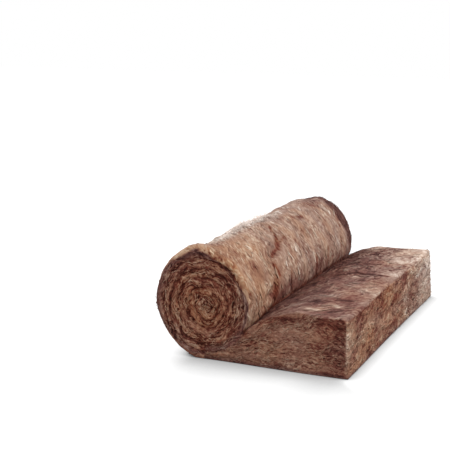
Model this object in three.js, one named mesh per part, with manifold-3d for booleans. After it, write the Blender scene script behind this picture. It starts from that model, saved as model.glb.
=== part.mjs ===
// A roll of mineral wool insulation lying on the floor, part unrolled, in millimetres with +Z up.
//
// The roll is one mat of wool. Wound up it is squeezed to thin turns; where it leaves the roll it
// springs back to its full thickness and lies on the floor as a flat tail. Seen from the front, along
// +Y, the mat runs from its cut end on the right (+X) along the floor, under the roll, up its left
// side, over the top and down the right side into the nip, the crease between the roll and the tail.
// From there it winds on inwards to the core. Both cut edges of the mat, the ends of the roll, show
// the turns as a spiral crease.
//
// The solid is a loft of that section along the roll's axis, with the spiral crease cut in each end.
// X runs along the tail, Y along the roll's axis, and the floor is Z = 0. The origin is on the floor,
// under the middle of the whole part.

import * as THREE from "three";
import Module from "manifold-3d";

// The mat
const MAT_WIDTH = 1200; // along the roll's axis, from one cut edge to the other
const MAT_THICKNESS = 200; // of the tail at its cut end, where the wool has sprung back
const TURN_THICKNESS = 31; // of one squeezed turn in the roll

// The roll
const ROLL_WIDTH = 372; // across the roll, level with its core
const ROLL_HEIGHT = 399; // from the floor to its top
const FOOT_SINK = 4; // how far the roll's own weight presses its foot flat on the floor
const SHOULDER_FLATTENING = 11; // how much less the roll bulges between its foot and its left side
const CORE_SAG = 12; // how far the core hangs below the middle of the turns
const CORE_RADIUS = 9; // from the core's middle to the inner end of the crease
const ROLL_RIM_RADIUS = 22; // rounding of the roll's two rims

// The tail
const TAIL_REACH = 540; // from the roll's axis to the upper edge of the tail's cut end
const END_BOW = 10; // how far that edge draws in, half way across the mat
const TAIL_CORNER_RADIUS = 12; // its rounding
const FOOT_REACH = 552; // from the roll's axis to the cut end's lower edge, on the floor
const FOOT_BOW = 3; // how far the lower edge draws in
const FOOT_CORNER_RADIUS = 5; // its rounding
const TAIL_EDGE_RADIUS = 8; // rounding of the tail's long cut edges, at its upper face
const FLOOR_EDGE_RADIUS = 3; // the same on the floor
const CREST_REACH = 375; // from the roll's axis to the tail's crest
const CREST_RISE_AT_FRONT = 12; // of the crest over the cut end, on the front end face
const CREST_RISE = 3; // the same, behind the front zone

// The nip, where the tail's upper face meets the roll, as an angle below the level of the core
const NIP_ANGLE_AT_FRONT = 29;
const NIP_ANGLE = 17;
const FRONT_ZONE = 260; // how far behind the front end the nip and the crest still change

// The soft waves of the faces: the roll's long wave, the pillows on it and the tail's hollows
const ROLL_WAVE = 4; // how far the roll's surface swells and sinks
const ROLL_WAVE_LENGTH = 520; // along the axis
const PILLOW_HEIGHT = 4; // how far a pillow stands out, and the hollow beside it sinks
const PILLOW_LENGTH = 210; // from one pillow to the next, along the axis
const PILLOWS_ROUND = 5; // in a full turn
const TAIL_WAVE = 4; // how far the tail's upper face swells and sinks
const TAIL_WAVE_LENGTH = 230; // along the axis
const TAIL_WAVE_REACH = 190; // along the tail

// The folds pressed into the roll's face where it bulges over itself. A fold runs through places that
// are given by the turn and by the distance in front of the middle of the mat.
const FOLD_DEPTH = 11;
const FOLD_HALF_WIDTH = 36; // from a fold's bottom to the face beside it
const FOLDS = [
  [[0.56, 112], [0.6, 156], [0.63, 240], [0.635, 335]],
  [[0.69, 338], [0.735, 345], [0.765, 440], [0.795, 489]],
];

// The flares of the loose outer turn at the two ends: how far each stands out, and at which turn
const FRONT_FLARE = 12;
const FRONT_FLARE_TURN = 0.455; // left of the roll's top
const BACK_FLARE = 10;
const BACK_FLARE_TURN = 0.56; // right of the roll's top
const FLARE_SPREAD = 0.11; // in turns, each way
const FLARE_DEPTH = 150; // how far a flare reaches in from its end

// The spiral crease in each end
const CREASE_WIDTH = 9; // at the end face
const CREASE_FLOOR = 1.6; // at its bottom
const CREASE_DEPTH = 14;

// How finely the curves are faceted
const STATIONS = 36; // sections between the two rims
const RIM_STEPS = 3; // sections round each rim
const ROLL_STEPS = 48; // round the roll, from its foot to the nip
const TAIL_STEPS = 14; // from the nip to the cut end
const CORNER_STEPS = 3;
const CREASE_STEPS_PER_TURN = 30;

const HALF_WIDTH = MAT_WIDTH / 2;
const FULL_TURN = 2 * Math.PI;

// ---- The winding -------------------------------------------------------------------------------

// Winding radii where the mat touches the floor, such that the wound shape is ROLL_WIDTH across and
// ROLL_HEIGHT high: the roll gets narrower by TURN_THICKNESS with each turn.
const START_RADIUS_X = (ROLL_WIDTH + TURN_THICKNESS) / 2;
const START_RADIUS_Z = (ROLL_HEIGHT + FOOT_SINK + TURN_THICKNESS / 2) / 2;
const CORE_X = TURN_THICKNESS / 4; // puts the roll's middle, and not its core, at X = 0
const CORE_Z = START_RADIUS_Z - FOOT_SINK;
const TURNS = (START_RADIUS_X - CORE_RADIUS) / TURN_THICKNESS;

// The outer face of the mat after a number of turns, clockwise from the floor. The first turn is the
// roll's own outline, and the rest is the crease between two turns. swell widens the outline.
function windingPoint(turns, swell = 0) {
  const angle = turns * FULL_TURN;
  const shoulder = turns < 0.25 ? SHOULDER_FLATTENING * Math.sin(2 * angle) ** 2 : 0;
  const lost = turns * TURN_THICKNESS + shoulder - swell;
  const sag = CORE_SAG * Math.max(0, (turns - 1) / (TURNS - 1));
  const x = CORE_X - (START_RADIUS_X - lost) * Math.sin(angle);
  const z = CORE_Z - sag - (START_RADIUS_Z - lost) * Math.cos(angle);
  return new THREE.Vector2(x, Math.max(0, z));
}

// A value that differs on the front end face and settles smoothly over the front zone.
function behindFront(atFront, settled, y) {
  return THREE.MathUtils.lerp(atFront, settled, THREE.MathUtils.smoothstep(y + HALF_WIDTH, 0, FRONT_ZONE));
}

// The turn at which the roll's outline reaches the nip: 0.75 is level with the core.
function nipTurn(y) {
  return 0.75 + behindFront(NIP_ANGLE_AT_FRONT, NIP_ANGLE, y) / 360;
}

// ---- The roll's soft face ----------------------------------------------------------------------

// How deep the folds are pressed in at a turn and a place across the mat.
function foldDepth(turns, y) {
  const face = (turn, before) => new THREE.Vector3(turn * FULL_TURN * START_RADIUS_X, -before, 0);
  const place = face(turns, -y);
  const nearest = new THREE.Vector3();
  const gaps = FOLDS.flatMap((line) =>
    line.slice(1).map((to, i) =>
      new THREE.Line3(face(...line[i]), face(...to))
        .closestPointToPoint(place, true, nearest)
        .distanceTo(place),
    ),
  );
  return FOLD_DEPTH * (1 - THREE.MathUtils.smoothstep(Math.min(...gaps), 0, FOLD_HALF_WIDTH));
}

// How far the outer turn flares at a distance in from one of the ends.
function flareHeight(rise, offMiddle, fromEnd) {
  const { smoothstep } = THREE.MathUtils;
  const round = 1 - smoothstep(Math.abs(offMiddle), 0, FLARE_SPREAD);
  return rise * round * (1 - smoothstep(fromEnd, 0, FLARE_DEPTH));
}

// How far the face stands out from the winding: waves, pillows and folds, which fade out at the foot
// and in the nip, and the flares.
function rollSwell(turns, y) {
  const fade = Math.sin((Math.PI * turns) / nipTurn(y));
  const wave = ROLL_WAVE * Math.sin(FULL_TURN * (y / ROLL_WAVE_LENGTH + turns));
  const shifted = (FULL_TURN * y) / PILLOW_LENGTH + 2 * Math.sin(2 * FULL_TURN * turns);
  const pillow = PILLOW_HEIGHT * Math.sin(shifted) * Math.sin(PILLOWS_ROUND * FULL_TURN * turns);
  const flare =
    flareHeight(FRONT_FLARE, turns - FRONT_FLARE_TURN, y + HALF_WIDTH) +
    flareHeight(BACK_FLARE, turns - BACK_FLARE_TURN, HALF_WIDTH - y);
  const calm = THREE.MathUtils.smoothstep(nipTurn(y) - turns, 0, 0.04);
  return fade * (wave + pillow) - calm * foldDepth(turns, y) + flare;
}

// ---- The section across the mat ----------------------------------------------------------------

// One point of the outline, with the radius that the mat's cut edge is rounded to there.
function outlinePoint(point, edgeRadius) {
  return { point, edgeRadius };
}

function rollOutline(y) {
  const points = [];
  for (let i = 0; i <= ROLL_STEPS; i++) {
    const share = i / ROLL_STEPS;
    const turns = nipTurn(y) * share;
    const edge = THREE.MathUtils.lerp(FLOOR_EDGE_RADIUS, TAIL_EDGE_RADIUS, share);
    const rim = THREE.MathUtils.lerp(edge, ROLL_RIM_RADIUS, Math.sin(Math.PI * share));
    points.push(outlinePoint(windingPoint(turns, rollSwell(turns, y)), rim));
  }
  return points;
}

// The tail's upper face, from the nip over the crest to the rounded corner of the cut end.
function tailTopOutline(y) {
  const nip = windingPoint(nipTurn(y));
  const endX = drawnIn(TAIL_REACH, END_BOW, y) - TAIL_CORNER_RADIUS;
  const crest = new THREE.Vector2(
    CREST_REACH,
    MAT_THICKNESS + behindFront(CREST_RISE_AT_FRONT, CREST_RISE, y),
  );
  const rise = new THREE.CubicBezierCurve(
    nip,
    new THREE.Vector2(nip.x + (crest.x - nip.x) * 0.18, nip.y + (crest.y - nip.y) * 0.48),
    new THREE.Vector2(nip.x + (crest.x - nip.x) * 0.62, crest.y),
    crest,
  );
  const run = new THREE.CubicBezierCurve(
    crest,
    new THREE.Vector2(THREE.MathUtils.lerp(crest.x, endX, 0.4), crest.y),
    new THREE.Vector2(THREE.MathUtils.lerp(crest.x, endX, 0.7), MAT_THICKNESS),
    new THREE.Vector2(endX, MAT_THICKNESS),
  );
  const path = new THREE.CurvePath();
  path.add(rise);
  path.add(run);
  return path.getSpacedPoints(TAIL_STEPS).map((point, i) => {
    const fade = Math.sin((Math.PI * i) / TAIL_STEPS);
    const along = Math.cos((FULL_TURN * point.x) / TAIL_WAVE_REACH);
    const across = Math.sin((FULL_TURN * y) / TAIL_WAVE_LENGTH);
    point.y += TAIL_WAVE * fade * along * across;
    return outlinePoint(point, TAIL_EDGE_RADIUS);
  });
}

// How far an edge of the cut end is from the roll's axis at a place across the mat.
function drawnIn(reach, bow, y) {
  return reach - bow * Math.cos((Math.PI * y) / MAT_WIDTH) ** 2;
}

// The cut end, from its upper rounded corner to the lower one.
function tailEndOutline(y) {
  const x = drawnIn(TAIL_REACH, END_BOW, y) - TAIL_CORNER_RADIUS;
  const upper = new THREE.Path();
  upper.absarc(x, MAT_THICKNESS - TAIL_CORNER_RADIUS, TAIL_CORNER_RADIUS, Math.PI / 2, 0, true);
  const footX = drawnIn(FOOT_REACH, FOOT_BOW, y) - FOOT_CORNER_RADIUS;
  const lower = new THREE.Path();
  lower.absarc(footX, FOOT_CORNER_RADIUS, FOOT_CORNER_RADIUS, 0, -Math.PI / 2, true);
  return [
    ...upper.getPoints(CORNER_STEPS).map((point) => outlinePoint(point, TAIL_EDGE_RADIUS)),
    ...lower.getPoints(CORNER_STEPS).map((point) => outlinePoint(point, FLOOR_EDGE_RADIUS)),
  ];
}

// The whole closed outline at a place across the mat, clockwise from the roll's foot.
function sectionOutline(y) {
  return [...rollOutline(y), ...tailTopOutline(y).slice(1, -1), ...tailEndOutline(y)];
}

// ---- The loft along the roll's axis ------------------------------------------------------------

// Unit normals of a clockwise outline, pointing out of the wool.
function outwardNormals(outline) {
  return outline.map((_, i) => {
    const before = outline[(i + outline.length - 1) % outline.length].point;
    const after = outline[(i + 1) % outline.length].point;
    const along = after.clone().sub(before).normalize();
    return new THREE.Vector2(-along.y, along.x);
  });
}

// One ring of the loft. turnedIn is the angle round the rim: 0 where the rim begins and a quarter
// turn on the end face. side is -1 for the front end, 1 for the back and 0 between the rims.
function ring(y, turnedIn, side) {
  const outline = sectionOutline(y);
  const normals = outwardNormals(outline);
  return outline.map(({ point, edgeRadius }, i) => {
    const inset = edgeRadius * (1 - Math.cos(turnedIn));
    const fromEnd = edgeRadius * (1 - Math.sin(turnedIn));
    const at = point.clone().addScaledVector(normals[i], -inset);
    return new THREE.Vector3(at.x, side ? side * (HALF_WIDTH - fromEnd) : y, at.y);
  });
}

function allRings() {
  const rings = [];
  const quarter = Math.PI / 2;
  for (let i = RIM_STEPS; i >= 0; i--) rings.push(ring(-HALF_WIDTH, (quarter * i) / RIM_STEPS, -1));
  for (let i = 1; i < STATIONS; i++) {
    const inner = HALF_WIDTH - ROLL_RIM_RADIUS;
    rings.push(ring(THREE.MathUtils.lerp(-inner, inner, i / STATIONS), 0, 0));
  }
  for (let i = 0; i <= RIM_STEPS; i++) rings.push(ring(HALF_WIDTH, (quarter * i) / RIM_STEPS, 1));
  return rings;
}

// ---- Solids ------------------------------------------------------------------------------------

const wasm = await Module();
wasm.setup();

// A solid through rings of equally many points. Each ring runs anticlockwise as seen from the next
// ring, and fill gives the triangles, by index, that close a ring in its own direction.
function solidThrough(rings, fill) {
  const count = rings[0].length;
  const last = (rings.length - 1) * count;
  const faces = [];
  for (let start = 0; start < last; start += count) {
    for (let i = 0; i < count; i++) {
      const a = start + i;
      const b = start + ((i + 1) % count);
      faces.push(a, b, a + count, b, b + count, a + count);
    }
  }
  for (const [a, b, c] of fill(rings[0])) faces.push(a, c, b);
  for (const triangle of fill(rings.at(-1))) faces.push(...triangle.map((i) => last + i));
  return new wasm.Manifold(
    new wasm.Mesh({
      numProp: 3,
      vertProperties: new Float32Array(rings.flat().flatMap((v) => [v.x, v.y, v.z])),
      triVerts: new Uint32Array(faces),
    }),
  );
}

// Fills an end ring of the mat. The triangles come anticlockwise in X and Z, against the ring.
function fillSection(section) {
  const flat = section.map((v) => new THREE.Vector2(v.x, v.z));
  return THREE.ShapeUtils.triangulateShape(flat, []).map(([a, b, c]) => [a, c, b]);
}

function fillQuad() {
  return [
    [0, 1, 2],
    [0, 2, 3],
  ];
}

// ---- The spiral crease -------------------------------------------------------------------------

// A wedge that follows the winding to the core, to be cut out of the back end. It starts just before
// the turn given, which is the nip's.
function creaseCutter(nip) {
  const first = nip - 0.02;
  const steps = Math.round((TURNS - first) * CREASE_STEPS_PER_TURN);
  const rings = [];
  for (let i = 0; i <= steps; i++) {
    const turns = THREE.MathUtils.lerp(first, TURNS, i / steps);
    const at = windingPoint(turns);
    const ahead = windingPoint(turns + 1e-3).sub(windingPoint(turns - 1e-3)).normalize();
    const taper = Math.min(1, (steps - i) / CREASE_STEPS_PER_TURN + 0.2); // narrows in the core
    const corner = (aside, depth) =>
      new THREE.Vector3(at.x - ahead.y * aside, HALF_WIDTH - depth, at.y + ahead.x * aside);
    const floor = (CREASE_FLOOR / 2) * taper;
    const mouth = CREASE_WIDTH * taper - floor; // its half width as far outside the end as it is deep
    rings.push([
      corner(-mouth, -CREASE_DEPTH),
      corner(mouth, -CREASE_DEPTH),
      corner(floor, CREASE_DEPTH),
      corner(-floor, CREASE_DEPTH),
    ]);
  }
  return solidThrough(rings, fillQuad);
}

// ---- The part ----------------------------------------------------------------------------------

function geometryOf(manifold) {
  const mesh = manifold.getMesh();
  const geometry = new THREE.BufferGeometry();
  geometry.setAttribute("position", new THREE.BufferAttribute(mesh.vertProperties, 3));
  geometry.setIndex(new THREE.BufferAttribute(mesh.triVerts, 1));
  geometry.computeVertexNormals();
  return geometry;
}

function woolMat() {
  const backCrease = creaseCutter(nipTurn(HALF_WIDTH));
  const frontCrease = creaseCutter(nipTurn(-HALF_WIDTH)).mirror([0, 1, 0]);
  const mat = solidThrough(allRings(), fillSection).subtract(backCrease).subtract(frontCrease);
  const wool = new THREE.MeshStandardMaterial({ color: 0x7b5a4b, roughness: 1, metalness: 0 });
  const mesh = new THREE.Mesh(geometryOf(mat), wool);
  mesh.name = "wool_mat";
  return mesh;
}

const mat = woolMat();
const middle = new THREE.Box3().setFromObject(mat).getCenter(new THREE.Vector3());
mat.position.x = -middle.x;

const insulationRoll = new THREE.Group();
insulationRoll.add(mat);

export default insulationRoll;
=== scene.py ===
"""Dresses a part-unrolled roll of mineral wool insulation: the wool's relief, its loose fibres and
its colours, on a pale studio floor.

The mat is followed by the coordinates that it has when it is rolled out flat. They run along its
length from the roll's foot, across its width, and through its thickness from its outer face. The
wool is laid in layers, so its relief, its fibres and its colours all follow them.
"""

import math
from functools import reduce
from types import SimpleNamespace

import bpy
import numpy as np
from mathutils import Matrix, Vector
from mathutils.geometry import delaunay_2d_cdt


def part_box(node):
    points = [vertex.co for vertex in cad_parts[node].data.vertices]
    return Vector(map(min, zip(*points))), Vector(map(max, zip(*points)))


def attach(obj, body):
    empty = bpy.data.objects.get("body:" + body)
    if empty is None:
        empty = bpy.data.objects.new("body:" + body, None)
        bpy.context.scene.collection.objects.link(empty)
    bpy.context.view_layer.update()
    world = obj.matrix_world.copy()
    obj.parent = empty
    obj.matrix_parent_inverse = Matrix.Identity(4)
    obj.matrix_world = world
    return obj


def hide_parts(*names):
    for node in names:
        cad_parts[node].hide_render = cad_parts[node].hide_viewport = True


bl_info = {
    "name": "Insulation roll",
    "version": (1, 0, 0),
    "blender": (4, 5, 0),
    "location": "View3D > Sidebar > Insulation roll",
    "description": "Dresses a part-unrolled roll of mineral wool insulation",
    "category": "Object",
}

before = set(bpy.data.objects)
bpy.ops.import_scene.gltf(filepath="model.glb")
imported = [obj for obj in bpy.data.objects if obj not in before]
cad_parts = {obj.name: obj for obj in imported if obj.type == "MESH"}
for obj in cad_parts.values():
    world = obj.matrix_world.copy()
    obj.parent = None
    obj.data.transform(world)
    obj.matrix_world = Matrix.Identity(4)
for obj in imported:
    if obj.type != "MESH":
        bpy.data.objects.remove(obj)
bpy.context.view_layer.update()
CAD_NODE = "wool_mat"
BODY = "root"
FULL_TURN = 2 * math.pi

# ---- Sizes and colours ---------------------------------------------------------------------------


def length(name, description, default, **more):
    return bpy.props.FloatProperty(
        name=name, description=description, default=default, unit="LENGTH", precision=4, **more
    )


def colour(name, description, default):
    return bpy.props.FloatVectorProperty(
        name=name, description=description, default=default, subtype="COLOR", min=0, max=1
    )


class RollSizes(bpy.types.PropertyGroup):
    """The wound mat's driving sizes: the solid's, but for a rounder shoulder."""

    thickness: length("Mat thickness", "Of the tail at its cut end", 0.200)
    turn: length("Turn thickness", "Of one squeezed turn in the roll", 0.031)
    width: length("Roll width", "Across the roll, level with its core", 0.372)
    height: length("Roll height", "From the floor to the roll's top", 0.399)
    foot_sink: length("Foot sink", "How far the roll's weight flattens its foot", 0.004)
    shoulder: length("Shoulder flattening", "Less bulge between the foot and the left side", 0.005)
    core_sag: length("Core sag", "How far the core hangs below the turns' middle", 0.012)
    core_radius: length("Core radius", "From the core's middle to the crease's inner end", 0.009)
    rim: length("Rim radius", "Rounding of the roll's rims", 0.022)
    tail_reach: length("Tail reach", "From the roll's axis to the cut end's upper edge", 0.540)
    end_bow: length("End bow", "How far the upper edge draws in half way across", 0.010)
    corner: length("Corner radius", "Rounding of the upper edge", 0.012)
    foot_reach: length("Foot reach", "From the roll's axis to the cut end's lower edge", 0.552)
    foot_bow: length("Foot bow", "How far the lower edge draws in half way across", 0.003)
    foot_corner: length("Foot corner radius", "Rounding of the lower edge", 0.005)
    tail_rim: length("Tail edge radius", "Rounding of the tail's long edges, on top", 0.008)
    floor_rim: length("Floor edge radius", "Rounding of the tail's long edges, on the floor", 0.003)
    crest_reach: length("Crest reach", "From the roll's axis to the tail's crest", 0.375)
    crest_front: length("Crest at the front", "Rise of the crest on the front end face", 0.012)
    crest: length("Crest", "Rise of the crest behind the front zone", 0.003)
    nip_front: bpy.props.FloatProperty(
        name="Nip at the front", description="Angle below the core's level", default=29
    )
    nip: bpy.props.FloatProperty(
        name="Nip", description="The nip's angle behind the front zone", default=17
    )
    front_zone: length("Front zone", "Where the nip and the crest still change", 0.260)
    roll_wave: length("Roll wave", "Swell of the roll's surface", 0.004)
    roll_wave_length: length("Roll wave length", "Along the roll's axis", 0.520)
    pillow: length("Pillow height", "How far the roll's pillows stand out", 0.004)
    pillow_length: length("Pillow length", "From one pillow to the next, along the axis", 0.210)
    pillows_round: bpy.props.IntProperty(
        name="Pillows round", description="In a full turn of the roll", default=5
    )
    tail_wave: length("Tail wave", "Swell of the tail's upper face", 0.004)
    tail_wave_length: length("Tail wave length", "Across the tail", 0.230)
    tail_wave_reach: length("Tail wave reach", "Along the tail", 0.190)
    fold: length("Fold depth", "Of the roll's two broad folds", 0.011)
    fold_half: length("Fold half width", "From a fold's bottom to the face beside it", 0.036)
    front_flare: length("Front flare", "How far the outer turn stands out at the front", 0.012)
    back_flare: length("Back flare", "How far the outer turn stands out at the back", 0.010)
    flare_depth: length("Flare depth", "How far a flare reaches in from its end", 0.150)
    mesh_step: length("Mesh step", "Spacing of the relief's points", 0.0050, min=0.003)


class ReliefSizes(bpy.types.PropertyGroup):
    """How deep the wool's relief is."""

    crease: length("Crease depth", "Between two turns at the ends", 0.010)
    crease_half: length("Crease half width", "From a crease's middle to the turn's face", 0.0050)
    swell: length("Swell", "Broad soft waves of the faces", 0.004)
    lump: length("Lump", "Small pillows and dimples of the faces", 0.0024)
    streak: length("Streak depth", "Furrows along the mat", 0.0020)
    fine_streak: length("Fine streak depth", "Small furrows along the mat", 0.0012)
    clump: length("Clump depth", "Lumps on the layered ends", 0.0048)
    fine_clump: length("Fine clump depth", "Small lumps on the layered ends", 0.0030)
    cut_clump: length("Cut clump depth", "Lumps on the cut end", 0.0060)
    fine_cut_clump: length("Fine cut clump depth", "Small lumps on the cut end", 0.0030)
    wander: length("Wander", "How far the turns stray sideways at the ends", 0.009)
    telescope: length("Telescope", "How far turns stand in or out at the ends", 0.010)
    fold: length("Fold depth", "Sharp folds along the mat", 0.0035)
    dent: length("Dent depth", "Of the pressed-in creases", 0.002)
    nip: length("Nip depth", "How deep the gap between roll and tail is cut", 0.006)
    core: length("Core depth", "How far the core sits back at the ends", 0.008)
    foot_spread: length("Foot spread", "How far the tail's foot spreads at the front end", 0.016)
    draw: length("Back draw", "How far the tail draws in at the back end", 0.014)
    corner_rise: length("Corner rise", "How far the tail's upper corners rise", 0.008)
    hood: length("Hood", "How far the outer turn's top overhangs the front end", 0.006)


class WoolLook(bpy.types.PropertyGroup):
    """The wool's colours."""

    deep: colour("Deep", "In gaps and folds", (0.045, 0.009, 0.004))
    dark: colour("Dark", "Dark wool", (0.138, 0.033, 0.018))
    middle: colour("Middle", "The wool's usual brown", (0.306, 0.155, 0.083))
    light: colour("Light", "Light strands", (0.490, 0.348, 0.229))
    pale: colour("Pale", "The lightest strands", (0.765, 0.665, 0.570))
    cool_deep: colour("Cool deep", "In gaps where the wool is greyer", (0.042, 0.017, 0.015))
    cool_dark: colour("Cool dark", "Dark wool where it is greyer", (0.122, 0.056, 0.046))
    cool_middle: colour("Cool middle", "Usual colour where it is greyer", (0.262, 0.175, 0.139))
    cool_light: colour("Cool light", "Light strands where it is greyer", (0.474, 0.384, 0.328))
    cool_pale: colour("Cool pale", "The lightest strands where it is greyer", (0.800, 0.700, 0.640))


# How far the outer face's wool wraps over the front rim: turn, and metres from where the rim's
# rounding starts. Then the same at the back and on the tail.
FRONT_WRAP = (
    (0.00, 0.018), (0.05, 0.020), (0.12, 0.020), (0.21, 0.010), (0.26, 0.008), (0.33, 0.012),
    (0.38, 0.024), (0.42, 0.034), (0.44, 0.032), (0.470, 0.022), (0.50, 0.029), (0.553, 0.036),
    (0.60, 0.041), (0.642, 0.046), (0.68, 0.036), (0.706, 0.022), (0.74, 0.012), (0.83, 0.012),
)
BACK_WRAP, TAIL_WRAP = -0.002, 0.007
# The strands on the roll lean towards the front on its top, and towards the back low on its right.
# They run straight round it at one turn, and lean more the further they are from there, as far as
# the two limits.
STRAIGHT_AT, LEAN, LEAN_LIMITS = 0.645, 7.5, (0.460, 0.730)
# On the tail they run aslant in front and straight further back: the slant, and where it fades.
TAIL_ASLANT, TAIL_ASLANT_FADE = 0.8, (-0.45, 0.0)
# Which way they run on the cut end.
CUT_RUN = (0, 1.0, 0.2)

# The tail's coordinates along and across it count by these shares, which sets how long its streaks
# are.
TAIL_ALONG, TAIL_ACROSS = 1.35, 0.5
# How high the tail is, which its layers follow on the end faces: distance from the roll's axis,
# height.
TAIL_HEIGHTS = ((0.00, 0.050), (0.17, 0.130), (0.30, 0.185), (0.42, 0.212), (0.54, 0.205))

# The roll's two broad folds, the same as the solid's: turn and place across, point by point.
BROAD_FOLDS = (
    ((0.560, -0.112), (0.600, -0.156), (0.630, -0.240), (0.635, -0.335)),
    ((0.690, -0.338), (0.735, -0.345), (0.765, -0.440), (0.795, -0.489)),
)
FRONT_FLARE_TURN, BACK_FLARE_TURN, FLARE_SPREAD = 0.455, 0.56, 0.11
# Creases in the roll's face: half width, strength, then turn and place across, point by point.
ROLL_FOLDS = (
    (0.014, 0.70, (0.545, -0.090), (0.560, -0.103), (0.580, -0.122)),
    (0.015, 0.95, (0.578, -0.120), (0.600, -0.147), (0.612, -0.178)),
    (0.024, 1.00, (0.600, -0.150), (0.612, -0.175), (0.625, -0.203)),
    (0.014, 0.75, (0.625, -0.205), (0.629, -0.237), (0.637, -0.276)),
    (0.009, 0.60, (0.600, -0.070), (0.606, -0.114), (0.610, -0.141)),
    (0.016, 0.90, (0.668, -0.310), (0.680, -0.300), (0.695, -0.292), (0.705, -0.291)),
    (0.026, 0.60, (0.700, -0.295), (0.718, -0.324), (0.746, -0.337), (0.775, -0.360)),
    (0.014, 0.70, (0.715, -0.173), (0.745, -0.178), (0.780, -0.168)),
    (0.020, 0.35, (0.548, 0.150), (0.556, 0.190), (0.560, 0.230)),
    (0.014, 0.70, (0.708, 0.125), (0.737, 0.112), (0.785, 0.123)),
    (0.010, 0.90, (0.742, 0.160), (0.785, 0.174)),
    (0.012, 0.80, (0.712, 0.273), (0.744, 0.266), (0.790, 0.255)),
    (0.014, 0.40, (0.700, 0.455), (0.730, 0.440), (0.785, 0.400)),
)
# The same in the tail's upper face, with the distance from the roll's axis for the turn.
TAIL_FOLDS = (
    (0.022, 1.25, (0.312, 0.041), (0.345, 0.053), (0.405, 0.060), (0.452, 0.074), (0.490, 0.068)),
    (0.020, 0.50, (0.345, -0.430), (0.390, -0.420)),
    (0.020, 0.50, (0.420, -0.345), (0.465, -0.335)),
    (0.020, 0.50, (0.320, 0.410), (0.350, 0.440)),
)
# Paler and darker places on the roll's face, partly its own uneven tone and partly painted
# shade, as just above the nip and in the hollow near its top: turn, place across, half length in
# turns, half width in metres and how much paler.
ROLL_SPOTS = (
    (0.605, -0.430, 0.060, 0.110, 0.10),
    (0.715, -0.440, 0.045, 0.075, 0.14),
    (0.770, -0.510, 0.040, 0.070, 0.10),
    (0.556, 0.190, 0.022, 0.060, -0.20),
    (0.528, 0.130, 0.020, 0.090, -0.14),
    (0.680, -0.220, 0.060, 0.110, 0.08),
    (0.760, -0.220, 0.050, 0.150, -0.20),
    (0.745, 0.150, 0.040, 0.120, -0.16),
    (0.600, 0.300, 0.060, 0.150, 0.06),
    (0.530, 0.460, 0.060, 0.130, -0.22),
    (0.730, 0.500, 0.035, 0.030, 0.14),
)
# The same on the tail's upper face, with the distance from the roll's axis for the turn; partly
# its own uneven tone and partly painted light and shade, as the darker places next to the roll.
TAIL_SPOTS = (
    (0.390, -0.530, 0.065, 0.040, 0.34),
    (0.455, -0.440, 0.055, 0.040, 0.30),
    (0.385, -0.280, 0.060, 0.045, 0.20),
    (0.380, 0.005, 0.080, 0.034, 0.30),
    (0.500, 0.100, 0.070, 0.070, 0.22),
    (0.480, 0.340, 0.070, 0.070, 0.28),
    (0.300, 0.560, 0.060, 0.050, 0.20),
    (0.375, -0.430, 0.045, 0.038, -0.20),
    (0.450, -0.340, 0.045, 0.032, -0.18),
    (0.255, -0.080, 0.055, 0.100, -0.14),
    (0.285, 0.230, 0.055, 0.090, -0.18),
    (0.345, 0.440, 0.045, 0.065, -0.20),
    (0.250, -0.350, 0.045, 0.090, -0.10),
)


# ---- The winding ---------------------------------------------------------------------------------


def smooth(value, low, high):
    """0 below low, 1 above high and smooth between."""
    t = np.clip((value - low) / (high - low), 0, 1)
    return t * t * (3 - 2 * t)


def bump(value, middle, half):
    """1 at the middle, falling smoothly to 0 at half its width."""
    return 1 - smooth(np.abs(value - middle), 0, half)


def waver(a, b):
    """An uneven wave over two lengths in metres, from -1 to 1."""
    return 0.5 * np.sin(31 * a + 2 * np.sin(17 * b)) + 0.5 * np.sin(47 * b + 3 * np.sin(23 * a))


def line_distance(at, line):
    """How far each place is from a line of points, up to 1."""
    away = np.full(len(at), 1.0)
    for a, b in zip(line[:-1], line[1:]):
        t = np.clip(((at - a) @ (b - a)) / ((b - a) @ (b - a)), 0, 1)
        away = np.minimum(away, np.linalg.norm(at - a - t[:, None] * (b - a), axis=1))
    return away


def spots(along, across, table):
    """How much paler the spots in a table make each place."""
    along = along + 0.012 * waver(across, along)
    across = across + 0.014 * waver(along, across)
    total = np.zeros(len(along))
    for at, aside, long, wide, paler in table:
        total += paler * bump(along, at, long) * bump(across, aside, wide)
    return total


# How often the search for a point's turn halves its step.
TURN_HALVINGS = 26


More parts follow.
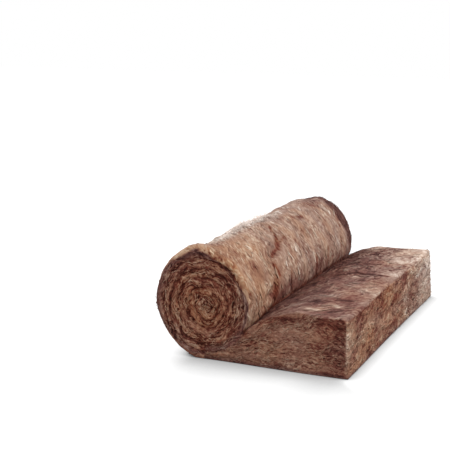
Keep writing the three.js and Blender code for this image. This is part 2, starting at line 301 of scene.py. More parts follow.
class Winding:
    """The wound mat's section, with X from the roll's axis and Z from the floor."""

    def __init__(self, sizes, half_width):
        self.sizes = sizes
        self.half_width = half_width
        self.radius_x = (sizes.width + sizes.turn) / 2
        self.radius_z = (sizes.height + sizes.foot_sink + sizes.turn / 2) / 2
        self.core_x = sizes.turn / 4
        self.core_z = self.radius_z - sizes.foot_sink
        self.turns = (self.radius_x - sizes.core_radius) / sizes.turn

    def sag(self, turns):
        return self.sizes.core_sag * np.maximum(0, (turns - 1) / (self.turns - 1))

    def point(self, turns, swell=0.0):
        """The mat's outer face after a number of turns, clockwise from the floor."""
        angle = turns * FULL_TURN
        shoulder = np.where(turns < 0.25, self.sizes.shoulder * np.sin(2 * angle) ** 2, 0)
        lost = turns * self.sizes.turn + shoulder - swell
        x = self.core_x - (self.radius_x - lost) * np.sin(angle)
        z = self.core_z - self.sag(turns) - (self.radius_z - lost) * np.cos(angle)
        return np.stack([x, np.maximum(0, z)], -1)

    def to_line(self, turns, y, line):
        """How far a place on the roll's face is from a line of points, in metres."""
        round_face = FULL_TURN * self.radius_x
        at = np.stack([turns * round_face, np.broadcast_to(y, np.shape(turns))], -1)
        return line_distance(at, np.array(line) * (round_face, 1))

    def swell(self, turns, y):
        """How far the roll's face stands out from the winding at each turn of one section."""
        sizes = self.sizes
        last = self.nip_turn(y)
        wave = sizes.roll_wave * np.sin(FULL_TURN * (y / sizes.roll_wave_length + turns))
        shifted = FULL_TURN * y / sizes.pillow_length + 2 * np.sin(2 * FULL_TURN * turns)
        pillow = np.sin(shifted) * np.sin(sizes.pillows_round * FULL_TURN * turns) * sizes.pillow
        flare = 0
        for out, at, end in (
            (sizes.front_flare, FRONT_FLARE_TURN, -self.half_width),
            (sizes.back_flare, BACK_FLARE_TURN, self.half_width),
        ):
            flare = flare + out * (bump(turns, at, FLARE_SPREAD) * bump(y, end, sizes.flare_depth))
        gap = np.min([self.to_line(turns, y, line) for line in BROAD_FOLDS], axis=0)
        fold = sizes.fold * (1 - smooth(gap, 0, sizes.fold_half)) * smooth(last - turns, 0, 0.04)
        return np.sin(math.pi * turns / last) * (wave + pillow) - fold + flare

    def behind_front(self, at_front, settled, y):
        behind = smooth(y + self.half_width, 0, self.sizes.front_zone)
        return at_front + (settled - at_front) * behind

    def nip_turn(self, y):
        return 0.75 + self.behind_front(self.sizes.nip_front, self.sizes.nip, y) / 360

    def drawn_in(self, reach, bow, y):
        """How far an edge of the cut end is from the roll's axis at a place across the mat."""
        return reach - bow * math.cos(math.pi * y / (2 * self.half_width)) ** 2

    @staticmethod
    def tail_height(x):
        return np.interp(x, *np.array(TAIL_HEIGHTS).T)

    def length(self, turns):
        """How far along the mat a number of turns is from the foot."""
        mean = (self.radius_x + self.radius_z) / 2
        return FULL_TURN * (mean * turns - self.sizes.turn * turns**2 / 2)

    def turned(self, x, z):
        """The angle of a point round the core, in turns from the foot, and its depth in turns."""
        lost = np.zeros_like(x)
        step = self.radius_x / 2
        for _ in range(TURN_HALVINGS):
            trial = lost + step
            dz = self.core_z - self.sag(trial / self.sizes.turn) - z
            rx = np.maximum(1e-6, self.radius_x - trial)
            rz = np.maximum(1e-6, self.radius_z - trial)
            inside = (self.core_x - x) ** 2 / rx**2 + dz**2 / rz**2 < 1
            lost = np.where(inside, trial, lost)
            step /= 2
        dz = self.core_z - self.sag(lost / self.sizes.turn) - z
        angle = np.arctan2((self.core_x - x) / (self.radius_x - lost), dz / (self.radius_z - lost))
        return (angle / FULL_TURN) % 1, lost / self.sizes.turn


def bezier(points, t):
    a, b, c, d = (np.array(p) for p in points)
    t = t[:, None]
    return (1 - t) ** 3 * a + 3 * (1 - t) ** 2 * t * b + 3 * (1 - t) * t**2 * c + t**3 * d


def evenly(path, count):
    """count + 1 points at even spacing along a path of many points."""
    steps = np.concatenate([[0], np.cumsum(np.linalg.norm(np.diff(path, axis=0), axis=1))])
    at = np.linspace(0, steps[-1], count + 1)
    return np.stack([np.interp(at, steps, path[:, i]) for i in range(2)], -1)


class Section:
    """The outline at one place across the mat: its points and the radius of the rim at each."""

    def __init__(self, winding, y, counts):
        self.winding, self.y, self.counts = winding, y, counts
        roll, top, end, floor = self.roll(), self.tail_top(), self.tail_end(), self.floor()
        self.points = np.concatenate([roll[0], top[0], end[0], floor[0]])
        self.rims = np.concatenate([roll[1], top[1], end[1], floor[1]])

    def roll(self):
        w, sizes = self.winding, self.winding.sizes
        part = np.linspace(0, 1, self.counts["roll"] + 1)
        turns = w.nip_turn(self.y) * part
        edge = sizes.floor_rim + (sizes.tail_rim - sizes.floor_rim) * part
        rims = edge + (sizes.rim - edge) * np.sin(math.pi * part)
        return w.point(turns, w.swell(turns, self.y)), rims

    def tail_top(self):
        w, sizes = self.winding, self.winding.sizes
        nip = w.point(np.array([w.nip_turn(self.y)]))[0]
        end = w.drawn_in(sizes.tail_reach, sizes.end_bow, self.y) - sizes.corner
        rise = w.behind_front(sizes.crest_front, sizes.crest, self.y)
        crest = np.array([sizes.crest_reach, sizes.thickness + rise])
        far = np.array([end, sizes.thickness])
        up, t = crest - nip, np.linspace(0, 1, 60)
        climb = bezier([nip, nip + up * (0.18, 0.48), (nip[0] + up[0] * 0.62, crest[1]), crest], t)
        run = far - crest
        level = bezier([crest, crest + run * (0.4, 0), (crest[0] + run[0] * 0.7, far[1]), far], t)
        count = self.counts["top"]
        points = evenly(np.concatenate([climb, level[1:]]), count)
        fade = np.sin(math.pi * np.arange(count + 1) / count)
        along = np.cos(FULL_TURN * points[:, 0] / sizes.tail_wave_reach)
        across = math.sin(FULL_TURN * self.y / sizes.tail_wave_length)
        points[:, 1] += sizes.tail_wave * fade * along * across
        points = points[1:-1]
        return points, np.full(len(points), sizes.tail_rim)

    def foot(self):
        """Where the lower edge's rounding meets the floor."""
        sizes = self.winding.sizes
        return self.winding.drawn_in(sizes.foot_reach, sizes.foot_bow, self.y) - sizes.foot_corner

    def tail_end(self):
        w, sizes = self.winding, self.winding.sizes
        turn = np.linspace(0, math.pi / 2, 4)
        x = w.drawn_in(sizes.tail_reach, sizes.end_bow, self.y) - sizes.corner
        round_x, round_z = sizes.corner * np.sin(turn), sizes.corner * np.cos(turn)
        upper = np.stack([x + round_x, sizes.thickness - sizes.corner + round_z], -1)
        r = sizes.foot_corner
        lower = np.stack([self.foot() + r * np.cos(turn), r - r * np.sin(turn)], -1)
        part = np.linspace(0, 1, self.counts["end"] + 1)[1:-1]
        side = upper[-1] + (lower[0] - upper[-1]) * part[:, None]
        points = np.concatenate([upper, side, lower])
        fall = np.concatenate([np.zeros(4), part, np.ones(4)])
        return points, sizes.tail_rim + (sizes.floor_rim - sizes.tail_rim) * fall

    def floor(self):
        w = self.winding
        x = np.linspace(self.foot(), w.core_x, self.counts["floor"] + 1)[1:-1]
        return np.stack([x, np.zeros_like(x)], -1), np.full(len(x), w.sizes.floor_rim)

    def normals(self):
        along = np.roll(self.points, -1, 0) - np.roll(self.points, 1, 0)
        along /= np.linalg.norm(along, axis=1, keepdims=True)
        return np.stack([-along[:, 1], along[:, 0]], -1)

    def ring(self, turned_in, side):
        """The outline at an angle round the rim, where a quarter turn is on the end face."""
        inset = self.rims * (1 - math.cos(turned_in))
        flat = self.points - self.normals() * inset[:, None]
        y = np.full(len(flat), self.y)
        if side:
            y = side * (self.winding.half_width - self.rims * (1 - math.sin(turned_in)))
        return np.stack([flat[:, 0], y, flat[:, 1]], -1)


# ---- The mat's mesh ------------------------------------------------------------------------------

# How many mesh steps apart the outline's points are, on each part of it.
SPACING = {"roll": 1.12, "top": 1.1, "end": 1, "floor": 4}
# The share of a full turn that the roll's face goes round, and how far from the axis the tail
# starts.
ROLL_SHARE, TAIL_START = 0.83, 0.16
RIM_STEPS = 4
# The end faces' inner points: how far they stray, in steps, and the seed of their strays.
INNER_STRAY, INNER_SEED = 0.15, 5
# Where the ends' own shifts fade in, as the distance from half way across the mat.
END_ZONE = (0.45, 0.6)


class MatMesh:
    """Points and faces of the whole mat, with the coordinates and masks that the relief needs."""

    def __init__(self, winding, relief, axis_x):
        self.winding, self.relief, self.axis_x = winding, relief, axis_x
        self.step = winding.sizes.mesh_step
        sizes = winding.sizes
        lengths = {
            "roll": math.pi * ROLL_SHARE * (sizes.width + sizes.height) / 2,
            "top": sizes.tail_reach - TAIL_START,
            "end": sizes.thickness,
            "floor": sizes.tail_reach,
        }
        self.counts = {
            part: max(4, round(size / (self.step * SPACING[part])))
            for part, size in lengths.items()
        }
        self.faces, self.triangles, self.past = [], [], []
        self.walls()
        self.cap(0, -1)
        self.cap((self.wall_rows - 1) * self.ring_count, 1)
        self.shape_ends()

    def walls(self):
        half, sizes = self.winding.half_width, self.winding.sizes
        quarter, steps = math.pi / 2, RIM_STEPS
        stations = round((2 * half - 2 * sizes.rim) / self.step)
        inner = half - sizes.rim
        rings = []
        front, back = self.section(-half), self.section(half)
        for i in range(steps, -1, -1):
            rings.append(front.ring(quarter * i / steps, -1))
            self.past.append(front.rims * quarter * i / steps)
        for i in range(1, stations):
            y = -inner + 2 * inner * i / stations
            section = self.section(y)
            rings.append(section.ring(0, 0))
            self.past.append(section.rims - (half - abs(y)))
        for i in range(steps + 1):
            rings.append(back.ring(quarter * i / steps, 1))
            self.past.append(back.rims * quarter * i / steps)
        count = len(rings[0])
        self.ring_count, self.wall_rows = count, len(rings)
        self.points = np.concatenate(rings)
        self.past = np.concatenate(self.past)
        self.rims = front.rims
        segment = np.arange(count)
        after = (segment + 1) % count
        for r in range(len(rings) - 1):
            start = r * count
            a, b = start + segment, start + after
            self.faces.append(np.stack([a, b, b + count, a + count], -1))
        in_roll = segment < self.counts["roll"]
        nip = self.winding.nip_turn(0)
        near = np.where(in_roll, (segment + 0.5) / self.counts["roll"] * nip, 0)
        self.near = np.tile(near, len(rings) - 1)
        self.tail = np.tile(~in_roll, len(rings) - 1)

    def section(self, y):
        return Section(self.winding, y, self.counts)

    def cap(self, start, side):
        """Fills one end face with small triangles that the spiral crease doesn't cross."""
        w, pitch = self.winding, self.winding.sizes.turn
        rim = self.points[start : start + self.ring_count]
        edge = rim[:, [0, 2]]
        nip = self.counts["roll"]
        first = w.nip_turn(side * w.half_width) + 0.01
        turns = [first]
        while turns[-1] < w.turns:
            radius = w.radius_x - turns[-1] * pitch
            turns.append(turns[-1] + self.step / (FULL_TURN * max(radius, 0.004)))
        crease = w.point(np.array(turns[:-1] + [w.turns]))
        inner = self.inner_points(edge, w.nip_turn(side * w.half_width))
        flat = np.concatenate([edge, crease, inner])
        count, c = len(edge), len(crease)
        lines = [(i, (i + 1) % count) for i in range(count)]
        lines += [(nip, count)] + [(count + i, count + i + 1) for i in range(c - 1)]
        made = delaunay_2d_cdt([Vector(p) for p in flat], lines, [], 1, 1e-7)
        coords, faces, origins = made[0], made[2], made[3]
        index = np.empty(len(coords), int)
        base = len(self.points)
        extra = []
        for i, (at, origin) in enumerate(zip(coords, origins)):
            on_rim = [o for o in origin if o < count]
            if on_rim:
                index[i] = start + on_rim[0]
            else:
                index[i] = base + len(extra)
                extra.append((at.x, side * w.half_width, at.y))
        tris = index[np.array(faces)]
        self.points = np.concatenate([self.points, extra])
        inside, nearest = self.edge_distance(np.array(extra)[:, [0, 2]], edge)
        self.past = np.concatenate([self.past, self.rims[nearest] * math.pi / 2 + inside])
        a, b, d = (self.points[tris[:, i]][:, [0, 2]] for i in range(3))
        area = np.cross(b - a, d - a)
        wrong = (area > 0) == (side > 0)
        tris[wrong] = tris[wrong][:, ::-1]
        self.triangles.append(tris)

    def shape_ends(self):
        """Lets the outer turn's top overhang the front end, and sinks the core."""
        w, relief = self.winding, self.relief
        x, y, z = self.points.T
        side = np.sign(y)
        on_wall = np.arange(len(self.points)) < self.ring_count * self.wall_rows
        angle, depth = w.turned(x, z)
        layer = depth - angle
        core = np.where(on_wall, 0, relief.core * smooth(depth, 0.8, w.turns))
        over = np.where(y < 0, relief.hood, relief.hood * 0.4) * bump(angle, 0.51, 0.24)
        near_end = smooth(np.abs(y), *END_ZONE)
        over = over * (1 - smooth(layer, 0.25, 1.1)) * near_end
        spread = relief.foot_spread * smooth(x, 0.02, 0.45) * (1 - 0.5 * smooth(z, 0, 0.2))
        out = np.where(y < 0, spread, -relief.draw * smooth(x, 0.25, 0.5)) * near_end
        rise = relief.corner_rise * bump(x, 0.54, 0.12) * near_end * smooth(z, 0.05, 0.2)
        self.points = np.stack([x, y + side * (over - core + out), z + rise], -1)

    @staticmethod
    def edge_distance(points, edge):
        """How far each point is from a closed outline, and the outline's nearest point."""
        away = np.full(len(points), 1.0)
        nearest = np.zeros(len(points), int)
        for i, (a, b) in enumerate(zip(edge, np.roll(edge, -1, 0))):
            ab = b - a
            t = np.clip(((points - a) @ ab) / max(ab @ ab, 1e-12), 0, 1)
            far = np.linalg.norm(points - a - t[:, None] * ab, axis=1)
            nearest[far < away] = i
            away = np.minimum(away, far)
        return away, nearest

    def inner_points(self, edge, nip):
        h = self.step
        low, high = edge.min(0), edge.max(0)
        rows = np.arange(low[1], high[1], h * math.sqrt(3) / 2)
        points = []
        for i, z in enumerate(rows):
            x = np.arange(low[0] + h / 2 * (i % 2), high[0], h)
            points.append(np.stack([x, np.full_like(x, z)], -1))
        points = np.concatenate(points)
        rng = np.random.default_rng(INNER_SEED)
        points += rng.uniform(-INNER_STRAY, INNER_STRAY, points.shape) * h
        keep = np.zeros(len(points), bool)
        for a, b in zip(edge, np.roll(edge, -1, 0)):
            crosses = (a[1] > points[:, 1]) != (b[1] > points[:, 1])
            with np.errstate(divide="ignore", invalid="ignore"):
                x = a[0] + (points[:, 1] - a[1]) / (b[1] - a[1]) * (b[0] - a[0])
            keep ^= crosses & (points[:, 0] < x)
        nearest = self.edge_distance(points, edge)[0]
        gap = self.crease_distance(points[:, 0], points[:, 1], nip)
        return points[keep & (nearest > h * 0.5) & (gap > h * 0.55)]

    def crease_distance(self, x, z, nip):
        """How far a point of the end face is from the spiral crease, in metres."""
        angle, depth = self.winding.turned(x, z)
        layer = depth - angle
        lowest = np.where(angle > nip, 0, 1)
        whole = np.clip(np.round(layer), lowest, None)
        gap = np.abs(layer - whole) * self.winding.sizes.turn
        past = (angle + whole) > self.winding.turns
        outside = (angle < nip) & (layer < -0.12)
        return np.where(past | outside, 1.0, gap)

    def object(self, name):
        w = self.winding
        quads = np.concatenate(self.faces)
        tris = np.concatenate(self.triangles)
        points = self.points
        # the turn that each corner is on
        centre = points[tris].mean(1)
        nip = np.where(centre[:, 1] < 0, w.nip_turn(-w.half_width), w.nip_turn(w.half_width))
        near, depth = w.turned(centre[:, 0], centre[:, 2])
        layer = depth - near
        tail = np.where(near > nip, layer < 0, layer < -0.12)
        turn = np.clip(np.floor(layer), 0, None)
        loop_vert = np.concatenate([quads.ravel(), tris.ravel()])
        loop_near = np.concatenate([np.repeat(self.near, 4), np.repeat(near, 3)])
        loop_tail = np.concatenate([np.repeat(self.tail, 4), np.repeat(tail, 3)])
        loop_turn = np.concatenate([np.zeros(quads.size), np.repeat(turn, 3)])
        grain = self.grain(points[loop_vert], loop_tail, loop_near, loop_turn)
        # each point's own coordinates, for the relief
        own = np.zeros((len(points), 3))
        own[loop_vert] = grain
        mesh = bpy.data.meshes.new(name)
        sizes = np.concatenate([np.full(len(quads), 4), np.full(len(tris), 3)])
        mesh.vertices.add(len(points))
        mesh.vertices.foreach_set("co", (points + [self.axis_x, 0, 0]).ravel())
        mesh.loops.add(len(loop_vert))
        mesh.loops.foreach_set("vertex_index", loop_vert)
        mesh.polygons.add(len(sizes))
        mesh.polygons.foreach_set("loop_start", np.concatenate([[0], np.cumsum(sizes)[:-1]]))
        mesh.update(calc_edges=True)
        mesh.validate()
        mesh.shade_smooth()
        self.write(mesh, "grain", "FLOAT_VECTOR", "CORNER", grain)
        self.write(mesh, "own_grain", "FLOAT_VECTOR", "POINT", own)
        for key, values in self.masks(points).items():
            kind = "FLOAT" if values.ndim == 1 else "FLOAT_VECTOR"
            self.write(mesh, key, kind, "POINT", values)
        return new_object(name, mesh)

    @staticmethod
    def write(mesh, name, kind, domain, values):
        attribute = mesh.attributes.new(name, kind, domain)
        attribute.data.foreach_set("value" if kind == "FLOAT" else "vector", values.ravel())

    def grain(self, points, tail, near, turn):
        """Along, across and through the mat, in metres."""
        w, pitch = self.winding, self.winding.sizes.turn
        x, y, z = points.T
        angle, depth = w.turned(x, z)
        angle = angle + np.round(near - angle)
        along = np.where(tail, TAIL_ALONG * (w.core_x - x), w.length(angle + turn))
        y = np.where(tail, TAIL_ACROSS * (y + w.half_width) - w.half_width, y)
        # the tail's layers fan out with its height, but only on its end faces
        fanned = smooth(np.abs(points[:, 1]), w.half_width - 0.030, w.half_width - 0.005)
        risen = z * (1 + fanned * (w.sizes.thickness / w.tail_height(x) - 1))
        through = np.where(tail, risen, (depth - angle - turn) * pitch)
        return np.stack([along, y, through], -1)

    @staticmethod
    def wrap_at(angle, y):
        """Where the outer face's wool ends on the rim, in metres from the rounding's start."""
        turns, wraps = np.array(FRONT_WRAP).T
        return np.where(y < 0, np.interp(angle, turns, wraps), BACK_WRAP)

    def masks(self, points):
        """What changes from place to place on the mat's surface."""
        w = self.winding
        x, y, z = points.T
        half, index = w.half_width, np.arange(len(points))
        on_wall = index < self.ring_count * self.wall_rows
        place = np.where(on_wall, index % self.ring_count, -1)
        nip_turn = np.where(y < 0, w.nip_turn(-half), w.nip_turn(half))
        crease = np.where(on_wall, 1, self.crease_distance(x, z, nip_turn))
        angle, depth = w.turned(x, z)
        layer = depth - angle
        in_roll = np.where(on_wall, place <= self.counts["roll"], (angle < nip_turn) | (layer > 0))
        in_roll &= on_wall | (angle >= nip_turn) | (layer >= -0.3)
        # the faces: the roll's and the tail's broad ones, the layered ends and the cut end
        wrap = np.where(in_roll, self.wrap_at(angle, y), TAIL_WRAP)
        end_face = smooth(self.past - wrap, -0.003, 0.003)
        first = self.counts["roll"] + self.counts["top"]
        # from the upper rounding's last point to the lower one's last but one
        is_cut = (place >= first + 3) & (place <= first + self.counts["end"] + 5)
        cut_face = is_cut * (1 - end_face)
        broad = (1 - end_face) * (1 - is_cut)
        off_floor = smooth(z, 0.0005, 0.014)
        nip = self.nip_distance(points, on_wall, place)
        free = off_floor * smooth(nip, 0.000, 0.020)
        # the tail's straight edges
        edge = np.where(on_wall & ~in_roll, np.abs(place - first - 1.5) * self.step, 1)
        edge = np.minimum(edge, np.where(in_roll, 1, np.abs(self.past - 0.006)))
        edge = 1 - smooth(edge, 0.004, 0.024)
        rounding = bump(self.past, 0.012, 0.026) * in_roll * (y < 0) * bump(angle, 0.25, 0.22)
        run, lean = self.directions(points, angle, in_roll, is_cut, end_face)
        dent = self.dents(points, in_roll & on_wall, angle, broad)
        at = SimpleNamespace(
            x=x, y=y, z=z, in_roll=in_roll, angle=angle, layer=layer, end=end_face, cut=cut_face,
            dent=dent, nip=nip, crease=crease,
        )
        near_nip = smooth(nip, 0.006, 0.018)
        return {
            "free": free * (1 - 0.25 * edge) * (1 - 0.6 * rounding),
            "roll_face": broad * in_roll * off_floor * near_nip,
            "tail_face": broad * ~in_roll * off_floor * near_nip,
            "tail_inside": broad * ~in_roll * off_floor * near_nip * (1 - edge),
            "end_face": end_face * off_floor,
            "disc_face": end_face * in_roll * off_floor * (1 - 0.8 * smooth(depth, 5.0, 6.0)),
            "front_face": end_face * ~in_roll * off_floor,
            "cut_face": cut_face * off_floor,
            "disc": (in_roll & ~on_wall) * smooth(layer, 0.10, 0.9),
            "crease": np.minimum(crease, 1),
            "nip": 1 - smooth(nip, 0, 0.009),
            "dent": dent,
            "fuzz": broad * in_roll * bump(angle, 0.460, 0.060) * bump(y, -0.08, 0.50),
            "run": run,
            "lean": lean,
            "paleness": self.paleness(at),
            "coolness": self.coolness(at),
            "contrast": self.contrast(at),
        }

    def nip_distance(self, points, on_wall, place):
        """How far each point is from the gap between the roll and the tail."""
        w, half = self.winding, self.winding.half_width
        x, y, z = points.T
        nip = np.where(on_wall, np.abs(place - self.counts["roll"]) * self.step, 1)
        corner = np.concatenate([w.point(np.array([w.nip_turn(s * half)])) for s in (-1, 1)])
        corner = np.where(y[:, None] < 0, corner[0], corner[1])
        to_corner = np.linalg.norm(np.stack([x, z], -1) - corner, axis=1)
        return np.minimum(nip, np.where(on_wall, 1, to_corner))

    def directions(self, points, angle, in_roll, is_cut, end_face):
        """Which way the wool's layers run, and how far aside its strands lean."""
        w = self.winding
        x, y, z = points.T
        tangent = w.point(angle + 1e-3) - w.point(angle - 1e-3)
        tangent /= np.linalg.norm(tangent, axis=1, keepdims=True)
        leaning = np.clip(angle, *LEAN_LIMITS) - STRAIGHT_AT
        run = np.stack([tangent[:, 0], LEAN * leaning * (1 - end_face), tangent[:, 1]], -1)
        lean = FULL_TURN * (w.radius_x + w.radius_z) / 4 * LEAN * leaning**2
        aslant = TAIL_ASLANT * (1 - smooth(y, *TAIL_ASLANT_FADE))
        lean = np.where(in_roll, lean, TAIL_ACROSS * aslant * (x - 0.4))
        slope = (w.tail_height(x + 0.01) - w.tail_height(x - 0.01)) / 0.02
        rising = end_face * z / w.tail_height(x) * slope
        on_tail = np.stack([-np.ones_like(x), -aslant * (1 - end_face), -rising], -1)
        run[~in_roll] = on_tail[~in_roll]
        run[is_cut] = CUT_RUN
        return run, lean

    def dents(self, points, on_roll, angle, broad):
        """How deep the pressed-in folds are, from 0 to 1."""
        x, y = points[:, 0], points[:, 1]
        dent = np.zeros(len(points))
        along_roll = self.winding.length
        for folds, here, along, measure in (
            (ROLL_FOLDS, on_roll, along_roll(angle), along_roll),
            (TAIL_FOLDS, ~on_roll, x, lambda place: place),
        ):
            at = np.stack([along, y + 0.004 * waver(along, y)], -1)
            for half, strength, *line in folds:
                line = np.array(line)
                line[:, 0] = measure(line[:, 0])
                deep = strength * (1 - smooth(line_distance(at, line), 0, half))
                dent = np.maximum(dent, np.where(here, deep, 0))
        return dent * broad

    @staticmethod
    def by_face(at, face, end, cut):
        """One value for each kind of face, mixed as the faces meet."""
        return face * (1 - at.end) * (1 - at.cut) + end * at.end + cut * at.cut

    def paleness(self, at):
        """How pale the wool is, from 0 for deep brown to 1 for cream, with painted light and shade.
        """
        x, y, z, angle, past = at.x, at.y, at.z, at.angle, self.past
        # the roll: painted shade low down, a painted highlight along its top, and dark at its back
        # rim
        roll = 0.475 - 0.16 * smooth(angle, 0.71, 0.80) * smooth(y, -0.60, -0.25)
        roll = roll - 0.16 * smooth(0.30 - angle, 0, 0.25) + spots(angle, y, ROLL_SPOTS)
        # painted highlight where the fuzz along the roll's top catches the light
        painted_top_highlight = (1 - smooth(angle, 0.462, 0.510)) * smooth(angle, 0.39, 0.44)
        painted_top_highlight = painted_top_highlight * (1 - smooth(y, 0.05, 0.34))
        roll += 0.28 * painted_top_highlight * smooth(y, -0.50, -0.40)
        roll -= 0.02 * (smooth(past, 0.0, 0.020) * (y < 0) * bump(angle, 0.59, 0.16))
        roll += 0.05 * smooth(past, -0.020, 0.010) * (y < 0) * bump(angle, 0.44, 0.10)
        band = smooth(past + 0.020 * waver(angle, y), -0.072, -0.036)
        roll -= 0.38 * band * (y > 0) * (1 - smooth(angle, 0.735, 0.775))
        # the tail's upper face, with painted shade next to the roll and a painted highlight on its
        # edge
        tail = 0.24 + 0.18 * smooth(y, 0.20, 0.45) * smooth(x, 0.26, 0.36)
        tail += 0.13 * smooth(x, 0.40, 0.50) * smooth(y, -0.45, -0.15)
        tail = tail - 0.12 * (1 - smooth(x, 0.19, 0.27)) + spots(x, y, TAIL_SPOTS)
        # painted highlight along the tail's upper edge
        painted_edge_highlight = bump(x, 0.526, 0.030) * smooth(z, 0.170, 0.195)
        painted_edge_highlight = np.maximum(painted_edge_highlight, bump(past, 0.002, 0.014) * smooth(z, 0.185, 0.196) * (x > 0.30))
        face = np.where(at.in_roll, roll, tail + 0.10 * painted_edge_highlight)
        # the cut end: paler at the back and on top, painted shade under its edge and on the floor
        painted_contact_shadow = 1 - smooth(z, 0.004, 0.018)
        cut = 0.39 + 0.28 * smooth(y, 0.20, 0.55)
        cut += 0.08 * smooth(y, 0.2, 0.4) * smooth(z, 0.09, 0.15)
        cut -= 0.09 * bump(z, 0.185, 0.035)
        cut += 0.10 * bump(y, -0.60, 0.05)
        cut -= 0.18 * painted_contact_shadow
        # the roll's ends: painted shade in the creases, and dark on the outer turn and the rim
        end = 0.39 + 0.05 * smooth(0.2 - z, 0, 0.15) + 0.05 * smooth(at.layer + angle, 4.6, 5.4)
        sunk = 1 - smooth(at.crease, 0.001, 0.010)
        end -= 0.16 * (0.6 + 0.4 * waver(angle, at.layer * 0.1)) * sunk
        rim = 1 - smooth(np.abs(past - self.wrap_at(angle, y) - 0.005), 0.002, 0.009)
        end = end - 0.11 * (1 - smooth(at.layer, 0.30, 0.95)) - 0.08 * rim
        # the tail's ends: painted shade under the upper edge and on the floor, pale at the corner
        front = 0.46 - 0.14 * bump(z, 0.185, 0.030) * (x > 0.2) - 0.17 * smooth(x, 0.40, 0.52)
        front = front - 0.26 * painted_contact_shadow + 0.22 * bump(x, 0.545, 0.014)
        tone = self.by_face(at, face, np.where(at.in_roll, end, front), cut)
        # painted shade in the pressed-in folds and in the nip between the roll and the tail
        tone = tone - 0.31 * at.dent - 0.16 * (1 - smooth(at.nip, 0.001, 0.006))
        return tone - 0.08 * (1 - smooth(at.nip, 0.006, 0.030))

    def contrast(self, at):
        """How much the wool's strands differ from each other."""
        y, angle = at.y, at.angle
        face = 0.62 + 0.22 * at.in_roll * (1 - smooth(y, -0.45, -0.20)) * bump(angle, 0.53, 0.13)
        face += 0.16 * ~at.in_roll * smooth(y, 0.0, 0.4)
        end = np.where(at.in_roll, 0.88 - 0.36 * (1 - smooth(at.layer, 0.4, 1.1)), 0.49)
        return self.by_face(at, face, end, 0.60 + 0.17 * smooth(y, -0.40, 0.0))

    def coolness(self, at):
        """How grey the brown is, from 0 for warm to 1 for cool."""
        y, angle, past = at.y, at.angle, self.past
        roll = 0.34 + 0.36 * smooth(y, -0.45, -0.15) + 0.08 * smooth(y, 0.1, 0.5)
        roll += 0.05 * smooth(angle, 0.71, 0.79)
        roll += 0.6 * smooth(past, -0.080, -0.040) * (y > 0)
        roll += 0.5 * bump(angle, 0.46, 0.07) * smooth(-past, 0.0, 0.03)
        roll -= 0.5 * smooth(past, -0.010, 0.015) * (y < 0) * bump(angle, 0.55, 0.22)
        face = np.where(at.in_roll, roll, 0.84 + 0.12 * smooth(y, 0.0, 0.5))
        ring = 1 - smooth(at.layer, 0.35, 1.05)
        inner = 1 - smooth(at.layer, 1.0, 4.5)
        edge = 1 - smooth(np.abs(past - self.wrap_at(angle, y) - 0.005), 0.002, 0.012)
        end = np.where(at.in_roll, 0.10 + 0.22 * inner + 0.44 * ring + 0.3 * edge, 0.40)
        # greyer along the floor, the hue of the painted contact shadow there
        low = 1 - smooth(at.z, 0.004, 0.016)
        cut = 0.32 + 0.50 * smooth(y, -0.10, 0.50) + 0.6 * low
        cool = self.by_face(at, face, end + 0.5 * low, cut)
        cool -= np.where(at.in_roll, 0.6, 0.2) * at.dent
        # warmer in the painted shade of the nip
        return np.clip(cool - 0.4 * (1 - smooth(at.nip, 0.002, 0.020)), 0, 1)


# ---- Node graphs ---------------------------------------------------------------------------------

FLOAT, INTEGER = "NodeSocketFloat", "NodeSocketInt"
STRING, MATERIAL = "NodeSocketString", "NodeSocketMaterial"
VECTOR = "FLOAT_VECTOR"
# The relief's sizes that its tree takes.
RELIEF_INPUTS = (
    "swell", "lump", "streak", "fine_streak", "fold", "clump", "fine_clump", "wander", "cut_clump",
    "fine_cut_clump", "telescope", "crease", "crease_half", "dent", "nip",
)
# How far what runs along the mat is bent aside, in metres: the relief and the colours.
RELIEF_WAVER, COLOUR_WAVER = 0.018, 0.016
# How far the noise is stretched about its middle, to reach from about -1 to 1.
NOISE_SPAN = 2.6
# How far above the floor the loose strands stay.
STRAND_CLEARANCE = 0.0005


def socket_of(label):
    """The name of a socket for an attribute or a size, as in End face for end_face."""
    return label.replace("_", " ").capitalize()


